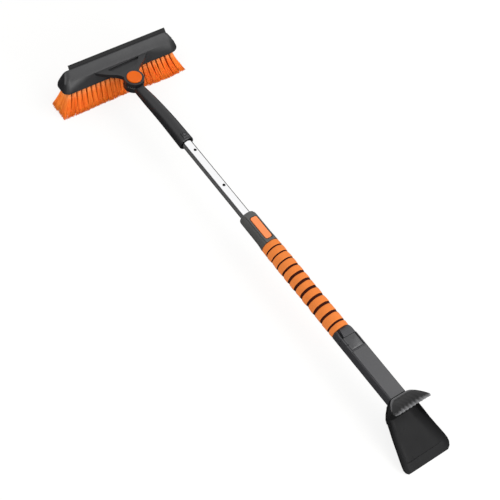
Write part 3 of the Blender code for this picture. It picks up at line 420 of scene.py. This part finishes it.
def soft_edges(angle):
    """A node group for a modifier that joins the faces and shades them smooth below an angle."""
    group = bpy.data.node_groups.new("soft_edges", "GeometryNodeTree")
    for way in ("INPUT", "OUTPUT"):
        group.interface.new_socket("Geometry", in_out=way, socket_type="NodeSocketGeometry")
    start = add(group, "NodeGroupInput")
    # The frame's own normals would hide the new shading.
    bare = add(group, "GeometryNodeRemoveAttribute", None,
               {"Geometry": start.outputs[0], "Name": "custom_normal"})
    joined = add(group, "GeometryNodeMergeByDistance", None,
                 {"Geometry": bare.outputs[0], "Distance": 0.004 * MM})
    edge = add(group, "GeometryNodeInputMeshEdgeAngle")
    gentle = add(group, "FunctionNodeCompare", {"data_type": "FLOAT", "operation": "LESS_THAN"})
    group.links.new(edge.outputs[0], gentle.inputs[0])
    gentle.inputs[1].default_value = angle
    faces = add(group, "GeometryNodeSetShadeSmooth", {"domain": "FACE"},
                {"Geometry": joined.outputs[0], "Shade Smooth": True})
    edges = add(group, "GeometryNodeSetShadeSmooth", {"domain": "EDGE"},
                {"Geometry": faces.outputs[0], "Shade Smooth": gentle.outputs[0]})
    finish = add(group, "NodeGroupOutput")
    group.links.new(edges.outputs[0], finish.inputs[0])
    return group


def finish_nodes(materials, group):
    """Gives every CAD part its material by slot and shades its curves smooth."""
    for name, node in frame["nodes"].items():
        for held_slot in node.material_slots:
            slot = OWN_FINISHES.get(name, held_slot.material.name.split(".")[0])
            if slot not in materials:
                raise RuntimeError(f"no finish for material slot {slot}")
            held_slot.material = materials[slot]
        soften(node, group)


def soften(piece, group):
    """Shades a piece's curves smooth and keeps its corners crisp."""
    shading = piece.modifiers.new("soft_edges", "NODES")
    shading.node_group = group
    weighting = piece.modifiers.new("weighted", "WEIGHTED_NORMAL")
    weighting.keep_sharp = True


def mesh_object(name, vertices, faces, materials):
    """A new smooth-shaded mesh object."""
    mesh = bpy.data.meshes.new(name)
    mesh.from_pydata(vertices, [], faces)
    mesh.update()
    mesh.polygons.foreach_set("use_smooth", [True] * len(mesh.polygons))
    for material in materials:
        mesh.materials.append(material)
    piece = bpy.data.objects.new(name, mesh)
    bpy.context.scene.collection.objects.link(piece)
    return piece


def ease(value):
    """Smooth step from 0 to 1."""
    value = np.clip(value, 0.0, 1.0)
    return value * value * (3.0 - 2.0 * value)


def scatter(number, draw):
    """Even places in the square from -1 to 1, one for each filament of a tuft."""
    order = np.arange(number) + number * draw.random()
    return 2.0 * (order * SPREAD_A % 1.0) - 1.0, 2.0 * (order * SPREAD_B % 1.0) - 1.0


def strand_paths(sizes, draw):
    """Centrelines and shades of all filaments, row by row from the front of the head."""
    low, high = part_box("bristle_base")
    skirt_low, skirt_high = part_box("bristle_field")
    root_z = low.z + ROOT_DEPTH
    margin = sizes.root_radius + ROOT_RIM
    front, back = high.x - margin, low.x + margin
    left, right = low.y + margin, high.y - margin
    half_x = 0.5 * (skirt_high.x - skirt_low.x) / sizes.rows
    front_tip = skirt_high.x - half_x + sizes.forward
    back_tip = skirt_low.x + half_x
    alongs = np.linspace(0.0, 1.0, sizes.columns)
    middles = left + (right - left) * alongs + np.interp(alongs, SIDE_PLACES, SIDE_LEAN) * MM
    halves = 0.5 * np.gradient(middles) * sizes.tip_fill
    steps = np.linspace(0.0, 1.0, STRAND_POINTS)
    paths, shades = [], []
    for row in range(sizes.rows):
        across = row / (sizes.rows - 1)
        root_x = front + (back - front) * across
        for column in range(sizes.columns):
            along = column / (sizes.columns - 1)
            root_y = left + (right - left) * along
            forward = np.interp(along, SIDE_PLACES, FORWARD_LEAN) * MM
            tuft_x = front_tip + forward * (1.0 - across) + (back_tip - front_tip) * across
            tuft_x += draw.normal(0.0, TUFT_STRAY_X)
            tuft_y = middles[column] + draw.normal(0.0, TUFT_STRAY_Y)
            tuft_rise = TUFT_RISE * draw.random()
            tuft_shade = draw.normal(0.5, TUFT_SHADES)
            # The same square of places is drawn round for the hole and square for the tips.
            a, b = scatter(sizes.strands, draw)
            root = np.stack([
                root_x + ROOT_FLATNESS * sizes.root_radius * a * np.sqrt(1.0 - b * b / 2.0),
                root_y + sizes.root_radius * b * np.sqrt(1.0 - a * a / 2.0),
                np.full(sizes.strands, root_z)], axis=1)
            tip = np.stack([
                tuft_x + half_x * sizes.tip_fill * a,
                tuft_y + halves[column] * b,
                skirt_low.z + TIP_HEIGHT + tuft_rise + sizes.trim * draw.random(sizes.strands)], axis=1)
            tip[:, :2] += draw.normal(0.0, TIP_STRAY, (sizes.strands, 2))
            bend = root + (tip - root) * np.array([STRAND_BEND, STRAND_BEND, 0.5])
            bend[:, :2] += draw.normal(0.0, BEND_STRAY, (sizes.strands, 2))
            t = steps[None, :, None]
            curve = root[:, None] * (1 - t) ** 2 + bend[:, None] * 2 * t * (1 - t) + tip[:, None] * t ** 2
            paths.append(curve)
            shades.append(np.clip(draw.normal(tuft_shade, STRAND_SHADES, sizes.strands), 0.0, 1.0))
    return np.concatenate(paths), np.concatenate(shades)


def tubes(paths, radius, sides):
    """Closed tubes round many paths at once: vertices, faces, each vertex's path and place along it."""
    tangent = np.gradient(paths, axis=1)
    tangent /= np.linalg.norm(tangent, axis=2, keepdims=True)
    first = np.cross(tangent, np.array([0.0, 1.0, 0.0]))
    first /= np.linalg.norm(first, axis=2, keepdims=True)
    second = np.cross(tangent, first)
    number, points = paths.shape[:2]
    turn = 2.0 * math.pi * np.arange(sides) / sides
    ring = (np.cos(turn)[None, None, :, None] * first[:, :, None]
            + np.sin(turn)[None, None, :, None] * second[:, :, None])
    vertices = paths[:, :, None] + ring * radius
    vertices[..., 2] = np.maximum(vertices[..., 2], 0.0)
    index = np.arange(number * points * sides).reshape(number, points, sides)
    after = np.roll(index, -1, axis=2)
    quads = np.stack([index[:, :-1], after[:, :-1], after[:, 1:], index[:, 1:]], axis=-1).reshape(-1, 4)
    starts = index[:, 0, ::-1].reshape(-1, sides)
    ends = index[:, -1].reshape(-1, sides)
    faces = quads.tolist() + starts.tolist() + ends.tolist()
    owner = np.repeat(np.arange(number), points * sides)
    place = np.tile(np.repeat(np.linspace(0.0, 1.0, points), sides), number)
    return vertices.reshape(-1, 3), faces, owner, place


def make_bristles(sizes, material):
    """All bristles as one piece that stands for the head's bristle block."""
    draw = np.random.default_rng(7)
    paths, shades = strand_paths(sizes, draw)
    vertices, faces, owner, place = tubes(paths, sizes.thickness, STRAND_SIDES)
    piece = mesh_object("bristles", vertices, faces, [material])
    for name, values in (("strand_shade", shades[owner]), ("strand_place", place)):
        attribute = piece.data.attributes.new(name, "FLOAT", "POINT")
        attribute.data.foreach_set("value", values.astype(np.float32))
    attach(piece, "head")
    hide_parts("bristle_field")
    return piece


def make_springs(material, group):
    """The springs with their CAD shapes, as pieces that ride on the bodies that hold them."""
    for name, part, body, joint, left in SPRINGS:
        solid = frame["nodes"][part]
        vertices = [solid.matrix_world @ vertex.co for vertex in solid.data.vertices]
        faces = [tuple(face.vertices) for face in solid.data.polygons]
        piece = mesh_object(name, vertices, faces, [material])
        soften(piece, group)
        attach(piece, body)
        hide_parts(part)
        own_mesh(piece)


def groove_places(sizes):
    """Middle and half width of each groove, from the collar's end of the foam."""
    place = sizes.first
    places = []
    for i in range(sizes.grooves):
        # Narrow at first, widest from the fifth groove on, and a little narrower at the last two.
        wide = float(ease((i - 1.5) / 3.0) * (1.0 - 0.6 * ease((i - 8.5) / 1.5)))
        places.append((place, GROOVE_HALF + GROOVE_WIDER * wide))
        place += sizes.pitch + sizes.growth * i
    return places


def foam_profile(sizes, long, radius, bore):
    """Points (distance along, radius, is groove) of the foam's section, outside from end to end."""
    floor = radius - sizes.depth
    shoulder = radius - 0.55 * sizes.depth
    stops = [(0.0, 0.0)] + groove_places(sizes) + [(long, 0.0)]
    points = [(0.0, bore, False)] + [(place, radius - under, False) for place, under in FOAM_START]
    for (here, half), (there, next_half) in zip(stops, stops[1:]):
        start = here + half + (GROOVE_LIP if half else FOAM_START_FULL)
        stop = there - next_half - (GROOVE_LIP if next_half else FOAM_END_FULL)
        if half:
            points += [
                (here - half * 0.9, floor, True),
                (here, radius - sizes.depth * 1.1, True),
                (here + half * 0.9, floor, True),
                (here + half, shoulder, False)]
        for step in range(FOAM_BAND_STEPS + 1):
            share = step / FOAM_BAND_STEPS
            swell = sizes.crown * (1.0 - (2.0 * share - 1.0) ** 4)
            points.append((start + (stop - start) * share, radius - sizes.crown + swell, False))
        if next_half:
            points.append((there - next_half, shoulder, False))
    points += [(long - place, radius - under, False) for place, under in FOAM_END]
    return points + [(long, bore, False)]


def make_foam(sizes, orange, black):
    """The ribbed foam grip, turned round the handle, in place of its plain solid."""
    low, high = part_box("foam_grip")
    radius = (high.y - low.y) / 2.0
    long = (high.x - low.x - 2.0 * radius * abs(HANDLE.z)) / HANDLE.x
    middle = (low + high) / 2.0
    origin = middle - HANDLE * long / 2.0
    tube_low, tube_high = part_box("outer_tube")
    bore = (tube_high.y - tube_low.y) / 2.0 + FOAM_GAP
    across = Vector((0.0, 1.0, 0.0))
    upward = HANDLE.cross(across)
    draw = np.random.default_rng(3)
    points = foam_profile(sizes, long, radius, bore)
    # Each wave's height and phase; the third number of a row is spare.
    lumps = draw.normal(0.0, 1.0, (LUMP_WAVES, 3))
    vertices = []
    for along, out, _ in points:
        for side in range(FOAM_SIDES):
            turn = 2.0 * math.pi * side / FOAM_SIDES
            lump = sum(a * math.sin(2.0 * turn * k + LUMP_TURN * along * (k + 1) + b)
                       for k, (a, b, _) in enumerate(lumps))
            reach = out + (LUMP_HEIGHT * lump if out > bore else 0.0)
            vertices.append(origin + HANDLE * along + across * (reach * math.cos(turn))
                            + upward * (reach * math.sin(turn)))
    faces, dark = [], []
    rings = len(points)
    for ring in range(rings):
        following = (ring + 1) % rings
        for side in range(FOAM_SIDES):
            beside = (side + 1) % FOAM_SIDES
            faces.append((ring * FOAM_SIDES + side, ring * FOAM_SIDES + beside,
                          following * FOAM_SIDES + beside, following * FOAM_SIDES + side))
            dark.append(points[ring][2] or points[following][2])
    piece = mesh_object("foam_sleeve", vertices, faces, [orange, black])
    piece.data.polygons.foreach_set("material_index", [int(d) for d in dark])
    if volume_sign(piece.data) < 0.0:
        piece.data.flip_normals()
    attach(piece, "grip")
    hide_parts("foam_grip")
    return piece


def volume_sign(mesh):
    """Positive if the closed mesh's faces point outwards."""
    mesh.calc_loop_triangles()
    centre = sum((v.co for v in mesh.vertices), Vector()) / len(mesh.vertices)
    total = 0.0
    for triangle in mesh.loop_triangles:
        a, b, c = (mesh.vertices[i].co - centre for i in triangle.vertices)
        total += a.dot(b.cross(c))
    return total


def make_materials(tones):
    """Every finish by the frame's material slot names."""
    return {
        # Fine-sparked polypropylene: a quiet satin black that greys where the lamp grazes it.
        "black_plastic": moulded(
            "polypropylene_sparked_black", tones.black, 0.4, 0.9 * MM, 0.04 * MM, PP_IOR),
        # The blade's polypropylene is blackest, and dull from its coarser sparking.
        "blade": moulded(
            "polypropylene_sparked_jet", tones.blade, 0.4, 1.1 * MM, 0.05 * MM, PP_IOR, 0.3, specular=0.15),
        # The visor comes from a polished mould, so its ridges catch the light; its crests and rims also get a
        # painted pale highlight.
        "visor": moulded(
            "polypropylene_gloss_jet", tones.blade, 0.22, 1.1 * MM, 0.02 * MM, PP_IOR, 0.06,
            specular=0.35, pale=tones.crest_highlight),
        # The collar gets a lighter grey copy of the black polypropylene: painted light, so that its flanks
        # show lit and stand out from the grip and neck.
        "collar": moulded(
            "polypropylene_sparked_grey", tones.collar, 0.36, 0.9 * MM, 0.04 * MM, PP_IOR),
        # The shaft's polypropylene has less carbon in it and a smoother mould, so it looks greyer.
        "shaft_plastic": moulded(
            "polypropylene_smooth_grey_black", tones.shaft, 0.42, 0.7 * MM, 0.03 * MM, PP_IOR),
        # ABS with a lightly etched skin: dark grey, with a broad soft sheen.
        "grey_plastic": moulded("abs_etched_grey", tones.panel, 0.44, 0.6 * MM, 0.03 * MM, ABS_IOR),
        # ABS from a polished mould: a deep orange under a clear highlight.
        "orange_plastic": moulded(
            "abs_gloss_orange", tones.button, 0.3, 2.0 * MM, 0.01 * MM, ABS_IOR, 0.06, specular=0.2),
        # Thermoplastic elastomer skin: pale and dull, soft to the touch.
        "pale_orange_plastic": moulded(
            "tpe_soft_pale_orange", tones.lever, 0.6, 1.0 * MM, 0.04 * MM, 1.5, 0.1),
        # Skived EVA foam: dull and even, with cut cells that break up the light.
        "foam": eva_foam("eva_foam_skived_orange", tones.foam, 0.12 * MM),
        # Extruded polyester: strands in slightly different oranges with a satin streak along each, and a
        # painted highlight near the roots.
        "bristle": filament(
            "polyester_filament_extruded_orange", tones.bristle, tones.bristle_dark, tones.bristle_highlight),
        # Extruded EPDM rubber: darker and duller than the mouldings.
        "blade_rubber": moulded(
            "epdm_rubber_extruded", tones.rubber, 0.62, 1.2 * MM, 0.05 * MM, 1.52, specular=0.25),
        # Drawn and polished aluminium: mirrors the white surroundings in long streaks.
        "polished_aluminium": metal(
            "aluminium_drawn_polished", tones.aluminium, 0.13, 60.0 * MM, 0.8 * MM, 0.006 * MM),
        # Black anodised aluminium: a dark metal with a blurred glint along it.
        "black_aluminium": metal(
            "aluminium_anodised_black", tones.dark_aluminium, 0.34, 40.0 * MM, 0.8 * MM, 0.01 * MM),
        # Zinc-plated steel as turned: bright, with short fine tool lines.
        "steel": metal("steel_turned_zinc_plated", tones.steel, 0.28, 8.0 * MM, 0.5 * MM, 0.01 * MM),
        # Blackened steel pins, which hardly show in their bosses.
        "oxide": metal("steel_black_oxide", tones.oxide, 0.45, 8.0 * MM, 0.5 * MM, 0.01 * MM),
        # Natural nylon: milky and waxy.
        "nylon": moulded("nylon_moulded_natural", tones.nylon, 0.4, 1.2 * MM, 0.02 * MM, 1.53),
    }


def held(name):
    """A material that another step made, by name."""
    material = bpy.data.materials.get(name)
    if material is None:
        raise RuntimeError(f"the finish {name} is missing: run the finishes first")
    return material


class SNOWBRUSH_OT_finishes(bpy.types.Operator):
    """Give every solid part its plastic, rubber or metal finish"""

    bl_idname = "snow_brush.finishes"
    bl_label = "Part Finishes"

    def execute(self, context):
        materials = make_materials(context.scene.snow_brush_finishes)
        finish_nodes(materials, soft_edges(SMOOTH_BELOW))
        return {"FINISHED"}


class SNOWBRUSH_OT_bristles(bpy.types.Operator):
    """Plant the bristles in rows of tufts along the head"""

    bl_idname = "snow_brush.bristles"
    bl_label = "Bristles"

    def execute(self, context):
        make_bristles(context.scene.snow_brush_bristles, held("polyester_filament_extruded_orange"))
        return {"FINISHED"}


class SNOWBRUSH_OT_springs(bpy.types.Operator):
    """Set the springs under the buttons and the lever"""

    bl_idname = "snow_brush.springs"
    bl_label = "Springs"

    def execute(self, context):
        make_springs(held("steel_turned_zinc_plated"), bpy.data.node_groups["soft_edges"])
        return {"FINISHED"}


class SNOWBRUSH_OT_foam(bpy.types.Operator):
    """Turn the ribbed foam grip round the handle"""

    bl_idname = "snow_brush.foam"
    bl_label = "Foam Grip"

    def execute(self, context):
        tones = context.scene.snow_brush_finishes
        # The grooves' faces are coloured dark red-brown, with almost no shine, so they read as deep lines.
        black = eva_foam("eva_foam_core_black", tones.groove, 0.06 * MM, 0.1)
        make_foam(context.scene.snow_brush_foam, held("eva_foam_skived_orange"), black)
        return {"FINISHED"}


def white_to_the_eye(tree, share):
    """How much of a surface glows plain white: only for what the camera and mirrors see."""
    path = add(tree, "ShaderNodeLightPath")
    seen = add(tree, "ShaderNodeMath", {"operation": "MAXIMUM"},
               {0: path.outputs["Is Camera Ray"], 1: path.outputs["Is Glossy Ray"]})
    seen = add(tree, "ShaderNodeMath", {"operation": "MAXIMUM"},
               {0: seen.outputs[0], 1: path.outputs["Is Transmission Ray"]})
    return add(tree, "ShaderNodeMath", {"operation": "MULTIPLY"}, {0: seen.outputs[0], 1: share}).outputs[0]


def flat_square(half, height):
    """Corners of a level square round the origin."""
    return [(-half, -half, height), (half, -half, height), (half, half, height), (-half, half, height)]


def make_floor():
    """The pale floor, with a soft shadow."""
    material, tree = new_material("paper_matt_white")
    diffuse = add(tree, "ShaderNodeBsdfDiffuse", None, {"Color": linear("#F4F3F0")})
    glow = add(tree, "ShaderNodeEmission", None, {"Color": (1.0, 1.0, 1.0, 1.0), "Strength": 1.0})
    mix = add(tree, "ShaderNodeMixShader", None, {
        0: white_to_the_eye(tree, FLOOR_GLOW), 1: diffuse.outputs[0], 2: glow.outputs[0]})
    shade(tree, mix)
    floor = mesh_object("floor", flat_square(FLOOR_HALF, 0.0), [(0, 1, 2, 3)], [material])


def make_flag(name, corners):
    """A dark card that only reflections see: beside the tool it draws the dark line along the bright
    tube, and just above the floor it keeps the undersides dark."""
    material, tree = new_material("card_black")
    shade(tree, add(tree, "ShaderNodeBsdfDiffuse", None, {"Color": linear("#4A4A4A")}))
    card = mesh_object(name, corners, [(0, 1, 2, 3)], [material])
    card.visible_camera = False
    card.visible_diffuse = False
    card.visible_shadow = False
    card.visible_transmission = False


def make_lamp(name, place, aim, watts, size):
    """A soft box that points at a place."""
    data = bpy.data.lights.new(name, "AREA")
    data.shape = "RECTANGLE"
    data.size, data.size_y = size
    data.energy = watts
    lamp = bpy.data.objects.new(name, data)
    lamp.location = place
    lamp.rotation_mode = "QUATERNION"
    lamp.rotation_quaternion = (Vector(aim) - Vector(place)).to_track_quat("-Z", "Y")
    bpy.context.scene.collection.objects.link(lamp)


def make_world(level):
    """White surroundings: plain white to the eye, softer as light."""
    world = bpy.data.worlds.new("studio")
    world.use_nodes = True
    tree = world.node_tree
    tree.nodes.clear()
    share = white_to_the_eye(tree, 1.0)
    strength = add(tree, "ShaderNodeMapRange", None, {"Value": share, "To Min": level, "To Max": 1.0})
    sky = add(tree, "ShaderNodeBackground", None,
              {"Color": (1.0, 1.0, 1.0, 1.0), "Strength": strength.outputs[0]})
    add(tree, "ShaderNodeOutputWorld", None, {"Surface": sky.outputs[0]})
    bpy.context.scene.world = world


def make_camera():
    """The camera, above the scraper end and to its left, rolled a little."""
    data = bpy.data.cameras.new("camera")
    data.sensor_width = 36.0
    data.lens = data.sensor_width / 2.0 / math.tan(math.radians(CAMERA_ANGLE / 2.0))
    data.clip_start = 0.05
    data.clip_end = 60.0
    camera = bpy.data.objects.new("camera", data)
    camera.location = CAMERA_PLACE
    camera.rotation_mode = "QUATERNION"
    camera.rotation_quaternion = CAMERA_TURN
    bpy.context.scene.collection.objects.link(camera)
    bpy.context.scene.camera = camera


class SNOWBRUSH_OT_stage(bpy.types.Operator):
    """Set up the pale floor, the soft lamps and the camera"""

    bl_idname = "snow_brush.stage"
    bl_label = "Studio"

    def execute(self, context):
        studio = context.scene.snow_brush_studio
        make_floor()
        make_world(studio.ambient)
        make_flag("flag_side", SIDE_CARD)
        make_flag("flag_low", flat_square(LOW_CARD_HALF, LOW_CARD_HEIGHT))
        for name, place, aim, size in LAMPS:
            make_lamp(f"{name}_lamp", place, aim, getattr(studio, name), size)
        make_camera()
        context.scene.view_settings.view_transform = "Standard"
        return {"FINISHED"}


class SNOWBRUSH_PT_panel(bpy.types.Panel):
    """Steps that dress the snow brush."""

    bl_label = "Snow Brush"
    bl_idname = "SNOWBRUSH_PT_panel"
    bl_space_type = "VIEW_3D"
    bl_region_type = "UI"
    bl_category = "Snow Brush"

    def draw(self, context):
        for step in STEPS:
            self.layout.operator(step.bl_idname)


GROUPS = {
    "snow_brush_finishes": SnowBrushFinishes,
    "snow_brush_bristles": SnowBrushBristles,
    "snow_brush_foam": SnowBrushFoam,
    "snow_brush_studio": SnowBrushStudio,
}
STEPS = (
    SNOWBRUSH_OT_finishes,
    SNOWBRUSH_OT_bristles,
    SNOWBRUSH_OT_springs,
    SNOWBRUSH_OT_foam,
    SNOWBRUSH_OT_stage,
)


def register():
    """Registers the classes and puts the settings on the scene."""
    for item in (*GROUPS.values(), *STEPS, SNOWBRUSH_PT_panel):
        bpy.utils.register_class(item)
    for name, group in GROUPS.items():
        setattr(bpy.types.Scene, name, bpy.props.PointerProperty(type=group))


def unregister():
    """Takes the settings and classes away again."""
    for name in GROUPS:
        delattr(bpy.types.Scene, name)
    for item in reversed((*GROUPS.values(), *STEPS, SNOWBRUSH_PT_panel)):
        bpy.utils.unregister_class(item)


def main():
    """Runs every step in order."""
    register()
    bpy.ops.snow_brush.finishes()
    bpy.ops.snow_brush.bristles()
    bpy.ops.snow_brush.springs()
    bpy.ops.snow_brush.foam()
    bpy.ops.snow_brush.stage()
    bpy.context.view_layer.update()


if __name__ == "__main__":
    main()
